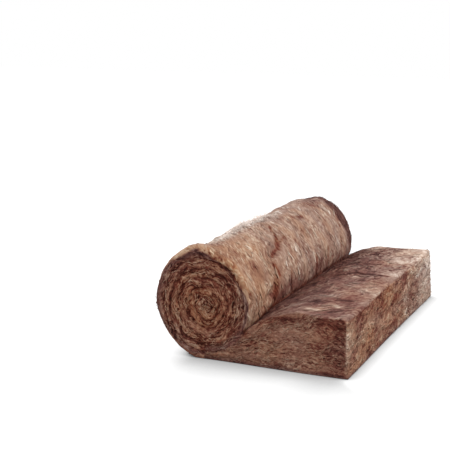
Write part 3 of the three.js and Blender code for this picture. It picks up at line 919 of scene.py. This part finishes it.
class Graph:
    """Adds nodes to a tree, and sets or links their inputs."""

    def __init__(self, tree):
        self.tree = tree
        self.link = tree.links.new

    def add(self, kind, inputs=None, **settings):
        node = self.tree.nodes.new(kind)
        for key, value in settings.items():
            setattr(node, key, value)
        for key, value in (inputs or {}).items():
            if isinstance(value, bpy.types.NodeSocket):
                self.link(value, node.inputs[key])
            else:
                node.inputs[key].default_value = value
        return node

    def get(self, kind, inputs=None, **settings):
        """The first output of a new node."""
        return self.add(kind, inputs, **settings).outputs[0]

    def math(self, operation, *values):
        return self.get("ShaderNodeMath", dict(enumerate(values)), operation=operation)

    def total(self, *values):
        return reduce(lambda a, b: self.math("ADD", a, b), values)

    def product(self, *values):
        return reduce(lambda a, b: self.math("MULTIPLY", a, b), values)

    def vector(self, operation, *values):
        inputs = dict(enumerate(values))
        if operation == "SCALE":
            inputs = {0: values[0], "Scale": values[1]}
        return self.get("ShaderNodeVectorMath", inputs, operation=operation)

    def combine(self, x=0.0, y=0.0, z=0.0):
        return self.get("ShaderNodeCombineXYZ", {0: x, 1: y, 2: z})

    def separate(self, vector):
        return self.add("ShaderNodeSeparateXYZ", {0: vector}).outputs

    def mix(self, share, a, b):
        return self.get("ShaderNodeMix", {0: share, 2: a, 3: b})

    def noise(self, at, stretch, detail=2.0, roughness=0.5, aside=None):
        """Smooth noise from -1 to 1, with so many lumps to the metre each way."""
        if aside:
            at = self.vector("ADD", at, aside)
        scaled = self.vector("MULTIPLY", at, stretch)
        inputs = {"Vector": scaled, "Scale": 1.0, "Detail": detail, "Roughness": roughness}
        made = self.get("ShaderNodeTexNoise", inputs)
        return self.math("MULTIPLY_ADD", made, NOISE_SPAN, -NOISE_SPAN / 2)

    def warped(self, at, amount):
        """The same coordinates, bent sideways so that what runs along the mat wavers."""
        aside = self.noise(at, (9, 14, 14), 1.0)
        ahead = self.noise(at, (12, 18, 18), 1.0, aside=(1.7, 2.9, 4.3))
        shift = self.combine(ahead, aside, ahead)
        return self.vector("ADD", at, self.vector("SCALE", shift, amount))

    def layers(self, grain, lean, amount):
        """Bent coordinates for the ends, and for the broad faces, whose strands lean."""
        leaning = self.vector("SUBTRACT", grain, self.combine(y=lean))
        return self.warped(grain, amount), self.warped(leaning, amount)

    def steps(self, value, low, high, to_low=0.0, to_high=1.0):
        inputs = {"Value": value, 1: low, 2: high, 3: to_low, 4: to_high}
        return self.get("ShaderNodeMapRange", inputs, interpolation_type="SMOOTHSTEP")

    def seen(self):
        """1 for what the camera sees straight, mirrored or through something, and 0 for light."""
        path = self.add("ShaderNodeLightPath").outputs
        seen = self.math("MAXIMUM", path["Is Camera Ray"], path["Is Glossy Ray"])
        return self.math("MAXIMUM", seen, path["Is Transmission Ray"])


class GeometryGraph(Graph):
    """A Geometry Nodes tree with one geometry in, one out and named sizes."""

    def __init__(self, name, inputs):
        super().__init__(bpy.data.node_groups.new(name, "GeometryNodeTree"))
        face = self.tree.interface
        face.new_socket("Geometry", in_out="INPUT", socket_type="NodeSocketGeometry")
        face.new_socket("Geometry", in_out="OUTPUT", socket_type="NodeSocketGeometry")
        self.sockets = {
            label: face.new_socket(label, in_out="INPUT", socket_type=kind)
            for label, kind in inputs.items()
        }
        self.given = self.tree.nodes.new("NodeGroupInput").outputs
        self.out = self.tree.nodes.new("NodeGroupOutput")

    def named(self, name, kind="FLOAT"):
        return self.get("GeometryNodeInputNamedAttribute", {"Name": name}, data_type=kind)

    def store(self, geometry, name, value, kind="FLOAT", domain="POINT"):
        inputs = {"Geometry": geometry, "Name": name, "Value": value}
        return self.get("GeometryNodeStoreNamedAttribute", inputs, data_type=kind, domain=domain)

    def position(self):
        return self.get("GeometryNodeInputPosition")

    def normal(self):
        return self.get("GeometryNodeInputNormal")

    def set_position(self, geometry, **inputs):
        return self.get("GeometryNodeSetPosition", {"Geometry": geometry, **inputs})

    def finish(self, geometry, lowest):
        """Keeps the geometry above the floor, and gives it out with its material."""
        above = self.vector("MAXIMUM", self.position(), (-10.0, -10.0, lowest))
        kept = self.set_position(geometry, Position=above)
        real = self.get("GeometryNodeRealizeInstances", {0: kept})
        made = self.get("GeometryNodeSetMaterial", {0: real, "Material": self.given["Material"]})
        self.link(made, self.out.inputs[0])
        return self

    def bake(self, obj, name, values):
        """Runs the tree on an object's mesh, and gives the result as a plain object."""
        modifier = obj.modifiers.new(name, "NODES")
        modifier.node_group = self.tree
        for label, value in values.items():
            modifier[self.sockets[label].identifier] = value
        bpy.context.view_layer.update()
        graph = bpy.context.evaluated_depsgraph_get()
        mesh = bpy.data.meshes.new_from_object(obj.evaluated_get(graph))
        obj.modifiers.remove(modifier)
        mesh.name = name
        return new_object(name, mesh)


def relief_graph():
    """Pillows, furrows and folds on the faces, lumps on the cuts and strayed turns at the ends."""
    inputs = {**dict.fromkeys(map(socket_of, RELIEF_INPUTS), FLOAT), "Material": MATERIAL}
    graph = GeometryGraph("Wool relief", inputs)
    given, product = graph.given, graph.product
    own = graph.named("own_grain", VECTOR)
    at, leaning = graph.layers(own, graph.named("lean"), RELIEF_WAVER)
    free, end, cut, disc = (graph.named(n) for n in ("free", "end_face", "cut_face", "disc"))
    broad = graph.math("MAXIMUM", graph.named("roll_face"), graph.named("tail_face"))

    def layer(amount, stretch, detail, mask):
        where = leaning if mask == broad else at
        return product(given[amount], graph.noise(where, stretch, detail), mask)

    folded = graph.noise(leaning, (3.2, 17, 17), 1.5)
    sharp = graph.steps(graph.math("ABSOLUTE", folded), 0.0, 0.13, 1.0, 0.0)
    patchy = graph.steps(graph.noise(leaning, (4, 7, 7), aside=(3.0, 5.0, 7.0)), -0.1, 0.5)
    fold = product(sharp, patchy, given["Fold"])
    height = graph.total(
        layer("Swell", (5, 9, 9), 1.0, broad),
        layer("Lump", (15, 20, 20), 1.5, broad),
        layer("Streak", (20, 52, 52), 2.0, broad),
        layer("Fine streak", (40, 150, 150), 2.0, broad),
        layer("Clump", (13, 26, 56), 2.0, end),
        layer("Fine clump", (46, 90, 170), 2.0, end),
        layer("Cut clump", (24, 17, 26), 2.0, cut),
        layer("Fine cut clump", (80, 48, 74), 2.0, cut),
        product(fold, broad, -1.0),
    )
    dent = product(graph.named("dent"), given["Dent"])
    pressed = graph.total(dent, product(graph.named("nip"), given["Nip"]))
    height = graph.math("SUBTRACT", product(height, free), pressed)
    # in and out of the ends
    away = graph.math("DIVIDE", graph.named("crease"), given["Crease half"])
    uneven = graph.steps(graph.noise(at, (9, 1, 1), 2.0), -0.5, 0.5, 0.15, 1.15)
    sunk = product(graph.steps(away, 0.0, 1.0, 1.0, 0.0), uneven, given["Crease"])
    stepped = layer("Telescope", (7, 1, 34), 1.5, disc)
    place = graph.position()
    side = graph.math("SIGN", graph.separate(place)[1])
    outward = graph.combine(y=product(graph.math("SUBTRACT", stepped, sunk), side))

    def stray(scale, amount):
        made = graph.add("ShaderNodeTexNoise", {"Vector": place, "Scale": scale, "Detail": 1.0})
        aside = graph.vector("SUBTRACT", made.outputs[1], (0.5, 0.5, 0.5))
        aside = graph.vector("MULTIPLY", aside, (NOISE_SPAN * amount, 0.0, NOISE_SPAN * amount))
        return graph.vector("SCALE", aside, product(given["Wander"], disc))

    offset = graph.vector("ADD", graph.vector("SCALE", graph.normal(), height), outward)
    offset = graph.vector("ADD", offset, graph.vector("ADD", stray(11.0, 1.3), stray(33.0, 0.6)))
    # in centimetres, for the colours, which take it as painted shade in hollows and highlight on
    # rises
    raised = product(graph.total(height, stepped, product(sunk, -1.6)), 100.0)
    marked = graph.store(given[0], "raised", raised)
    return graph.finish(graph.set_position(marked, Offset=offset), 0.0)


def strand_graph():
    """Loose strands, laid along the wool's layers and over its relief."""
    names = ("Density", "Length", "Width", "Stray", "Bend", "Lift", "Curl", "Darkest", "Lightest")
    inputs = {**dict.fromkeys(names, FLOAT), "Segments": INTEGER, "Seed": INTEGER}
    graph = GeometryGraph("Wool strands", {**inputs, "Face": STRING, "Material": MATERIAL})
    given, product = graph.given, graph.product
    seed = given["Seed"]

    def random(low, high, offset):
        values = {2: low, 3: high, "Seed": graph.math("ADD", seed, float(offset))}
        return graph.add("FunctionNodeRandomValue", values, data_type="FLOAT").outputs[1]

    wanted = graph.steps(graph.named(given["Face"]), 0.4, 0.8)
    scattered = graph.add(
        "GeometryNodeDistributePointsOnFaces",
        {"Mesh": given[0], "Density": product(wanted, given["Density"]), "Seed": seed},
    ).outputs
    # one strand: a tapered strip a metre long, to be scaled
    size = {"Size X": 1.0, "Size Y": 1.0, "Vertices X": given["Segments"], "Vertices Y": 2}
    strip = graph.get("GeometryNodeMeshGrid", size)
    parts = graph.separate(graph.position())
    along = product(parts[0], 2.0)
    taper = graph.math("SUBTRACT", 1.0, product(product(along, along), 0.85))
    shaped = graph.combine(parts[0], product(parts[1], taper))
    strand = graph.store(graph.set_position(strip, Position=shaped), "along_strand", along)
    # turned along the layers, with some stray
    align = "FunctionNodeAlignRotationToVector"
    to_normal = graph.get(align, {"Vector": scattered[1]}, axis="Z")
    run = graph.named("run", VECTOR)
    scatter = random(-1.0, 1.0, 11)
    wide = product(scatter, graph.math("ABSOLUTE", scatter))
    swung = graph.vector("NORMALIZE", graph.vector("CROSS_PRODUCT", scattered[1], run))
    aside = graph.vector("SCALE", swung, product(wide, given["Stray"]))
    towards = {"Rotation": to_normal, "Vector": graph.vector("ADD", run, aside)}
    turned = graph.get(align, towards, axis="X", pivot_axis="Z")
    long = product(random(0.35, 1.0, 12), given["Length"])
    wide = product(random(0.5, 1.2, 13), given["Width"])
    marked = scattered[0]
    for name, offset in (("swing", 17), ("waved", 18)):
        swing = graph.vector("SCALE", swung, product(random(-1.0, 1.0, offset), given["Bend"]))
        marked = graph.store(marked, name, swing, VECTOR)
    scale = graph.combine(long, wide, 1.0)
    inputs = {"Points": marked, "Instance": strand, "Rotation": turned, "Scale": scale}
    placed = graph.get("GeometryNodeInstanceOnPoints", inputs)
    tints = {2: given["Darkest"], 3: given["Lightest"], "Seed": seed}
    tint = graph.add("FunctionNodeRandomValue", tints).outputs[1]
    own_values = (("tint", tint), ("loose", random(0.0, 1.0, 15)), ("bend", random(-1.0, 1.0, 16)))
    for name, value in own_values:
        placed = graph.store(placed, name, value, domain="INSTANCE")
    real = graph.get("GeometryNodeRealizeInstances", {0: placed})
    # bent aside, laid on the relief, and the ends of the loose ones lifted
    end = graph.named("along_strand")
    squared = product(end, end)
    bowed = graph.vector("SCALE", graph.named("swing", VECTOR), squared)
    turned = product(graph.math("SUBTRACT", squared, 1.0), product(end, 2.6))
    bowed = graph.vector("ADD", bowed, graph.vector("SCALE", graph.named("waved", VECTOR), turned))
    real = graph.set_position(real, Offset=bowed)
    under = graph.get("GeometryNodeProximity", {0: given[0]}, target_element="FACES")
    nearest = {0: given[0], "Value": graph.normal()}
    facing = graph.get("GeometryNodeSampleNearestSurface", nearest, data_type=VECTOR)
    loose = graph.named("loose")
    rising = graph.steps(product(end, graph.math("SIGN", graph.named("bend"))), -0.2, 1.6)
    lift = graph.total(
        product(given["Lift"], graph.total(loose, 0.15)),
        product(rising, graph.math("POWER", loose, 5.0), given["Curl"]),
    )
    laid = graph.vector("ADD", under, graph.vector("SCALE", facing, lift))
    return graph.finish(graph.set_position(real, Position=laid), STRAND_CLEARANCE)


# ---- Materials -----------------------------------------------------------------------------------

# The colours from the darkest tone to the lightest, and the tones at which they lie.
TONES = {"deep": 0.0, "dark": 0.22, "middle": 0.5, "light": 0.76, "pale": 1.0}
# The masks and values that a wool material reads from its mesh.
WOOL_VALUES = ("paleness", "coolness", "contrast", "raised", "end_face", "cut_face", "lean")


def ramp_of(graph, tone, look, prefix=""):
    """A colour ramp over tone, through one set of the wool's colours."""
    node = graph.add("ShaderNodeValToRGB", {0: tone})
    ramp = node.color_ramp
    places = list(TONES.values())
    ramp.elements[0].position, ramp.elements[1].position = places[0], places[-1]
    for place in places[1:-1]:
        ramp.elements.new(place)
    for element, name in zip(ramp.elements, TONES):
        element.color = (*getattr(look, prefix + name), 1.0)
    return node.outputs[0]


def wool_colour_group(look):
    """The wool's colour and fine height from its coordinates and its masks."""
    tree = bpy.data.node_groups.new("Wool colour", "ShaderNodeTree")
    face = tree.interface
    face.new_socket("Grain", in_out="INPUT", socket_type="NodeSocketVector")
    for name in (*WOOL_VALUES, "tint"):
        face.new_socket(socket_of(name), in_out="INPUT", socket_type=FLOAT)
    face.new_socket("Colour", in_out="OUTPUT", socket_type="NodeSocketColor")
    face.new_socket("Height", in_out="OUTPUT", socket_type=FLOAT)
    graph = Graph(tree)
    product, total = graph.product, graph.total
    given = tree.nodes.new("NodeGroupInput").outputs
    out = tree.nodes.new("NodeGroupOutput").inputs
    at, leaning = graph.layers(given["Grain"], given["Lean"], COLOUR_WAVER)
    x, y, z = graph.separate(at)
    slanted = graph.combine(x, y, graph.math("MULTIPLY_ADD", y, -0.4, z))

    def three(on_face, on_end, on_cut, roughness, amounts):
        """Noise that is stretched and weighed as each kind of face has it."""
        kinds = zip((leaning, at, slanted), (on_face, on_end, on_cut), amounts)
        made = [product(graph.noise(v, s, 1.0, roughness), k) for v, s, k in kinds]
        mixed = graph.mix(given["End face"], made[0], made[1])
        return graph.mix(given["Cut face"], mixed, made[2])

    patch = three((8, 11, 14), (9, 12, 40), (9, 8, 14), 0.5, (0.24, 0.18, 0.34))
    lock = three((22, 34, 38), (17, 50, 84), (30, 24, 44), 0.6, (0.16, 0.29, 0.33))
    thread = three((50, 86, 96), (60, 130, 210), (100, 72, 130), 0.6, (0.39, 0.66, 0.44))
    varied = graph.noise(at, (7, 16, 30), aside=(5.0, 3.0, 1.0))
    fine = product(total(lock, thread), graph.steps(varied, -0.4, 0.4, 0.6, 1.4))
    # painted shade in thin dark lines between the layers on the ends, and in short slits everywhere
    ridge = graph.math("ABSOLUTE", graph.noise(at, (5, 10, 56), 1.0))
    line = product(graph.steps(ridge, 0.0, 0.09, -0.30, 0.0), given["End face"], given["Contrast"])
    slit = graph.math("ABSOLUTE", graph.noise(at, (20, 40, 44), 0.0, aside=(9.0, 4.0, 2.0)))
    here = graph.steps(graph.noise(at, (20, 30, 34), 0.0, aside=(2.0, 8.0, 6.0)), 0.05, 0.4)
    slit = product(graph.steps(slit, 0.0, 0.10, -0.31, 0.0), here, given["Contrast"])
    tone = total(
        given["Paleness"],
        product(total(fine, patch), given["Contrast"]),
        line,
        slit,
        # painted shade in the relief's hollows and a painted highlight on its rises
        product(given["Raised"], 0.10),
        product(given["Tint"], 0.22),
    )
    most = graph.math("MULTIPLY_ADD", given["End face"], -0.60, 1.24)
    tone = graph.math("SMOOTH_MIN", tone, most, 0.22)
    hue = graph.noise(at, (6, 11, 14), 1.0, aside=(4.0, 7.0, 3.0))
    vary = graph.math("MULTIPLY_ADD", given["End face"], -0.15, 0.4)
    cooled = graph.math("MULTIPLY_ADD", hue, vary, given["Coolness"])
    cooled = graph.math("MULTIPLY_ADD", given["Tint"], 0.10, cooled)
    cooled = graph.math("MINIMUM", graph.math("MAXIMUM", cooled, 0.0), 1.0)
    ramps = {6: ramp_of(graph, tone, look), 7: ramp_of(graph, tone, look, "cool_")}
    mixed = graph.add("ShaderNodeMix", {0: cooled, **ramps}, data_type="RGBA").outputs[2]
    # the ends are a little redder
    across = graph.math("MULTIPLY_ADD", given["Cut face"], 0.25, given["End face"])
    green, blue = (graph.math("MULTIPLY_ADD", across, less, 1.0) for less in (-0.09, -0.08))
    graph.link(graph.vector("MULTIPLY", mixed, graph.combine(1.0, green, blue)), out["Colour"])
    graph.link(total(fine, slit), out["Height"])
    return tree


def principled(name, inputs):
    """A new material, its graph and its shader's inputs, with some of them set."""
    material = bpy.data.materials.new(name)
    material.use_nodes = True
    shader = next(n for n in material.node_tree.nodes if n.type == "BSDF_PRINCIPLED")
    for label, value in inputs.items():
        shader.inputs[label].default_value = value
    return material, Graph(material.node_tree), shader.inputs


def wool_material(name, group, tint=None, bump_depth=0.008):
    inputs = {"Roughness": 0.85, "Specular IOR Level": 0.06}
    material, graph, shader = principled(name, inputs)

    def attribute(label, output="Fac"):
        return graph.add("ShaderNodeAttribute", attribute_name=label).outputs[output]

    values = {socket_of(label): attribute(label) for label in WOOL_VALUES}
    values["Grain"] = attribute("grain", "Vector")
    if tint:
        values["Tint"] = attribute(tint)
    wool = graph.add("ShaderNodeGroup", node_tree=group)
    for label, value in values.items():
        graph.link(value, wool.inputs[label])
    graph.link(wool.outputs["Colour"], shader["Base Color"])
    if bump_depth:
        inputs = {"Height": wool.outputs["Height"], "Strength": 1.0, "Distance": bump_depth}
        graph.link(graph.get("ShaderNodeBump", inputs), shader["Normal"])
    return material


# ---- The stage -----------------------------------------------------------------------------------

CAMERA_PLACE = (1.4402, -4.1274, 1.2679)
CAMERA_TURN = 23.47
CAMERA_PITCH = 11.34
CAMERA_LENS = 90.1
CAMERA_SENSOR = 36
# Name, place, what it points at, diameter and power.
LAMPS = (
    ("Key", (2.6, 0.3, 2.4), (0, 0, 0.2), 1.2, 135),
    ("Back", (-2.6, 1.4, 2.1), (0, 0, 0.3), 1.3, 110),
    ("Front fill", (-0.6, -3.6, 1.0), (0, 0, 0.2), 1.6, 76),
)
# How bright the world is as a light.
SKY_LIGHT = 0.45
# The floor reaches this far each way, and lies just under the object's foot.
FLOOR_REACH, FLOOR_DROP = 14.0, 0.0006
# Rays for each of the floor's two shadows.
SHADOW_RAYS = 16


def new_object(name, data):
    obj = bpy.data.objects.new(name, data)
    bpy.context.collection.objects.link(obj)
    return obj


def floor_material():
    """White to the camera, darkened where the object keeps the light out."""
    inputs = {
        "Base Color": (0.15, 0.15, 0.15, 1.0),
        "Roughness": 0.9,
        "Specular IOR Level": 0.0,
        "Emission Color": (1.0, 1.0, 1.0, 1.0),
    }
    material, graph, shader = principled("Studio floor", inputs)
    product, steps = graph.product, graph.steps
    place = graph.add("ShaderNodeTexCoord").outputs["Object"]
    across, forward, _ = graph.separate(place)
    # where the floor looks for the object: beside it, and closer by in front of it
    left_of = steps(across, -0.42, -0.32, 1.0, 0.0)
    beside = graph.math("SUBTRACT", steps(across, 0.32, 0.42), left_of)
    outward = graph.math("MAXIMUM", graph.math("SUBTRACT", across, 0.36), 0.0)
    slanted = graph.math("MULTIPLY_ADD", outward, 0.8, forward)
    in_front = steps(slanted, -0.70, -0.60, 1.0, 0.0)
    inward = steps(across, 0.10, 0.40, 0.0, -0.6)
    sideways = graph.mix(in_front, product(beside, 1.5), inward)
    ahead = product(in_front, steps(across, 0.15, 0.40, 0.0, 0.7))
    lean = graph.vector("NORMALIZE", graph.combine(sideways, ahead, 1.0))
    reach = graph.math("MULTIPLY_ADD", in_front, -0.84, 1.20)

    def open_to(inputs):
        node = graph.add("ShaderNodeAmbientOcclusion", inputs, samples=SHADOW_RAYS)
        return node.outputs["AO"]

    open_sky = open_to({"Distance": reach, "Normal": lean})
    close_by = open_to({"Distance": 0.075})
    shaded = graph.math("MULTIPLY_ADD", open_sky, 1.27, -0.25)
    shaded = graph.math("MINIMUM", shaded, graph.math("MULTIPLY_ADD", close_by, 1.2, -0.2))
    # lighter at the left, and white away from the object
    lighter = steps(across, -0.34, -0.20, 0.85, 0.0)
    glow = graph.total(shaded, product(lighter, graph.math("SUBTRACT", 1.0, shaded)))
    at = graph.vector("MULTIPLY", place, (1.0, 0.7, 0.0))
    away = graph.add("ShaderNodeVectorMath", {0: at}, operation="LENGTH").outputs["Value"]
    glow = graph.math("MAXIMUM", glow, steps(away, 0.75, 1.3))
    graph.link(product(graph.seen(), glow), shader["Emission Strength"])
    return material


def area_lamp(name, place, aim, size, power):
    lamp = bpy.data.lights.new(name, "AREA")
    lamp.shape = "DISK"
    lamp.size = size
    lamp.energy = power
    obj = new_object(name, lamp)
    obj.location = place
    obj.rotation_euler = (Vector(aim) - Vector(place)).to_track_quat("-Z", "Y").to_euler()


def make_world():
    """White to the camera, and a dimmer light on the object."""
    world = bpy.data.worlds.new("Studio")
    bpy.context.scene.world = world
    world.use_nodes = True
    graph = Graph(world.node_tree)
    back = next(n for n in world.node_tree.nodes if n.type == "BACKGROUND").inputs
    back["Color"].default_value = (1, 1, 1, 1)
    graph.link(graph.mix(graph.seen(), SKY_LIGHT, 1.0), back["Strength"])


def make_camera():
    data = bpy.data.cameras.new("Camera")
    data.lens = CAMERA_LENS
    data.sensor_width = CAMERA_SENSOR
    camera = new_object("Camera", data)
    camera.location = CAMERA_PLACE
    camera.rotation_euler = (math.radians(90 - CAMERA_PITCH), 0, math.radians(CAMERA_TURN))
    bpy.context.scene.camera = camera


def make_floor():
    mesh = bpy.data.meshes.new("floor")
    signs = ((-1, -1), (1, -1), (1, 1), (-1, 1))
    corners = [(x * FLOOR_REACH, y * FLOOR_REACH, -FLOOR_DROP) for x, y in signs]
    mesh.from_pydata(corners, [], [(0, 1, 2, 3)])
    floor = new_object("floor", mesh)
    mesh.materials.append(floor_material())


# ---- Operators -----------------------------------------------------------------------------------

# The strands' inputs: the mask that they grow on, how many to the square metre, length, width,
# stray from the layers' direction, bend, lift off the face, curl of the loosest ends, points along
# one, seed, and the darkest and lightest tint.
STRAND_INPUTS = (
    "Face", "Density", "Length", "Width", "Stray", "Bend", "Lift", "Curl",
    "Segments", "Seed", "Darkest", "Lightest",
)
# Their values for each kind of face.
STRANDS = {
    "roll_strands": (
        "roll_face", 680.0, 0.054, 0.0070, 0.4, 0.004, 0.0020, 0.004, 8, 3, -0.10, 0.95,
    ),
    "fuzz_strands": (
        "fuzz", 36000.0, 0.050, 0.0017, 1.4, 0.012, 0.0045, 0.030, 6, 8, 0.65, 1.35,
    ),
    "tail_strands": (
        "tail_inside", 520.0, 0.056, 0.0110, 0.4, 0.004, 0.0020, 0.003, 7, 4, -0.30, 0.50,
    ),
    "end_strands": (
        "disc_face", 9000.0, 0.034, 0.0017, 0.6, 0.005, 0.0045, 0.007, 6, 5, -0.80, 0.35,
    ),
    "front_strands": (
        "front_face", 7000.0, 0.022, 0.0024, 0.9, 0.004, 0.0045, 0.004, 5, 9, -0.45, 0.20,
    ),
    "cut_strands": (
        "cut_face", 7000.0, 0.034, 0.0024, 0.9, 0.006, 0.0045, 0.006, 6, 6, -0.45, 0.40,
    ),
}


def ready(obj):
    """Puts a finished piece on the one body."""
    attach(obj, BODY)


class OBJECT_OT_wool_mat(bpy.types.Operator):
    """Make the wool mat with its relief, in place of the plain solid"""

    bl_idname = "insulation_roll.wool_mat"
    bl_label = "Wool mat"

    def execute(self, context):
        scene = context.scene
        sizes, relief = scene.roll_sizes, scene.relief_sizes
        low, high = (Vector(c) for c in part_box(CAD_NODE))
        winding = Winding(sizes, (high.y - low.y) / 2)
        plain = MatMesh(winding, relief, high.x - sizes.foot_reach).object("plain_mat")
        material = wool_material("Mineral wool", wool_colour_group(scene.wool_look))
        values = {socket_of(name): getattr(relief, name) for name in RELIEF_INPUTS}
        mat = relief_graph().bake(plain, "wool_blanket", {**values, "Material": material})
        bpy.data.objects.remove(plain)
        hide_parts(CAD_NODE)
        ready(mat)
        return {"FINISHED"}


class OBJECT_OT_wool_strands(bpy.types.Operator):
    """Lay loose strands over the mat"""

    bl_idname = "insulation_roll.wool_strands"
    bl_label = "Loose strands"

    def execute(self, context):
        mat = bpy.data.objects["wool_blanket"]
        group = bpy.data.node_groups["Wool colour"]
        material = wool_material("Loose wool", group, "tint", 0.0)
        graph = strand_graph()
        for name, values in STRANDS.items():
            inputs = {**dict(zip(STRAND_INPUTS, values)), "Material": material}
            ready(graph.bake(mat, name, inputs))
        return {"FINISHED"}


class OBJECT_OT_studio(bpy.types.Operator):
    """Make the floor, the lamps, the world and the camera"""

    bl_idname = "insulation_roll.studio"
    bl_label = "Studio"

    def execute(self, context):
        context.scene.view_settings.view_transform = "Standard"
        make_camera()
        make_world()
        make_floor()
        for lamp in LAMPS:
            area_lamp(*lamp)
        return {"FINISHED"}


class VIEW3D_PT_insulation_roll(bpy.types.Panel):
    """The roll's sizes, colours and pieces"""

    bl_label = "Insulation roll"
    bl_idname = "VIEW3D_PT_insulation_roll"
    bl_space_type = "VIEW_3D"
    bl_region_type = "UI"
    bl_category = "Insulation roll"

    def draw(self, context):
        scene = context.scene
        for group in (scene.roll_sizes, scene.relief_sizes, scene.wool_look):
            box = self.layout.box()
            for name in group.bl_rna.properties.keys():
                if name not in ("rna_type", "name"):
                    box.prop(group, name)
        for operator in OPERATORS:
            self.layout.operator(operator.bl_idname)


OPERATORS = (OBJECT_OT_studio, OBJECT_OT_wool_mat, OBJECT_OT_wool_strands)
CLASSES = (RollSizes, ReliefSizes, WoolLook, *OPERATORS, VIEW3D_PT_insulation_roll)


def register():
    for item in CLASSES:
        bpy.utils.register_class(item)
    bpy.types.Scene.roll_sizes = bpy.props.PointerProperty(type=RollSizes)
    bpy.types.Scene.relief_sizes = bpy.props.PointerProperty(type=ReliefSizes)
    bpy.types.Scene.wool_look = bpy.props.PointerProperty(type=WoolLook)


def unregister():
    for name in ("roll_sizes", "relief_sizes", "wool_look"):
        delattr(bpy.types.Scene, name)
    for item in reversed(CLASSES):
        bpy.utils.unregister_class(item)


def main():
    register()
    bpy.ops.insulation_roll.studio()
    bpy.ops.insulation_roll.wool_mat()
    bpy.ops.insulation_roll.wool_strands()


if __name__ == "__main__":
    main()
